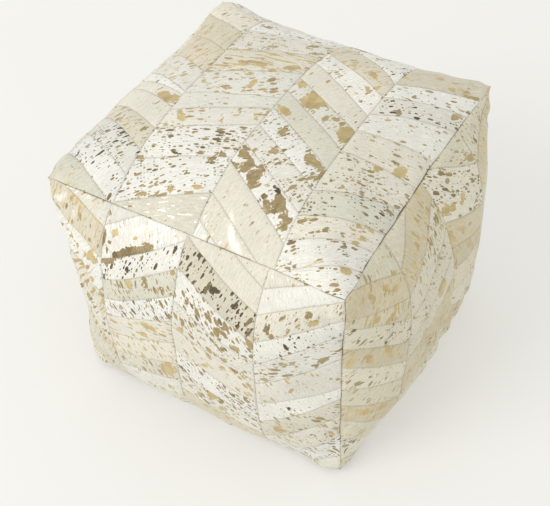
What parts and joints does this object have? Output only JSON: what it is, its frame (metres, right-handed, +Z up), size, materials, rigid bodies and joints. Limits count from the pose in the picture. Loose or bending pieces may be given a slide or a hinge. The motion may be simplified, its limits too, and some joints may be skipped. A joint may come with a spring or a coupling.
{
  "type": "pouf",
  "caption": "Square stuffed floor pouf: chevron patchwork hide cover with crowned sides, cloth base with zip and sliding puller, inner bag of beads.",
  "frame": {"origin": "on the floor under the middle of the pouf", "axes": "+Z up through the top panel; the base zip runs along X and closes towards -X; -Y is the front panel"},
  "size_m": [0.5486, 0.5485, 0.448],
  "materials": {
    "hide": "short clipped hair, satin, with gold foil flecks",
    "backing": "plain cotton",
    "base_cloth": "heavy woven canvas",
    "zip_tape": "herringbone tape",
    "zip_coil": "nylon coil",
    "zip_metal": "antiqued",
    "inner_cotton": "plain cotton",
    "beads": "expanded beads"
  },
  "bodies": {
    "root": {"top_column_1": "hide", "top_column_2": "hide", "top_column_3": "hide", "top_column_4": "hide", "front_column_1": "hide", "front_column_2": "hide", "front_column_3": "hide", "front_column_4": "hide", "right_column_1": "hide", "right_column_2": "hide", "right_column_3": "hide", "right_column_4": "hide", "back_column_1": "hide", "back_column_2": "hide", "back_column_3": "hide", "back_column_4": "hide", "left_column_1": "hide", "left_column_2": "hide", "left_column_3": "hide", "left_column_4": "hide", "top_backing": "backing", "front_backing": "backing", "right_backing": "backing", "back_backing": "backing", "left_backing": "backing", "base_front_half": "base_cloth", "base_back_half": "base_cloth", "base_end_left": "base_cloth", "base_end_right": "base_cloth", "inner_bag": "inner_cotton", "inner_bag_closure": "inner_cotton", "bead_filling": "beads", "zip_tape_front": "zip_tape", "zip_tape_back": "zip_tape", "zip_coil_front": "zip_coil", "zip_coil_back": "zip_coil", "zip_stop_left": "zip_metal", "zip_stop_right": "zip_metal"},
    "slider": {"zip_slider": "zip_metal"},
    "pull": {"zip_pull": "zip_metal"}
  },
  "joints": [
    {"name": "zip_slide", "type": "slide", "parent": "root", "child": "slider", "axis": [1, 0, 0], "range_m": [0, 0.29]},
    {"name": "pull_swing", "type": "hinge", "parent": "slider", "child": "pull", "pos_m": [-0.145, 0, 0.00595], "axis": [0, 1, 0], "range_deg": [0, 170]}
  ]
}
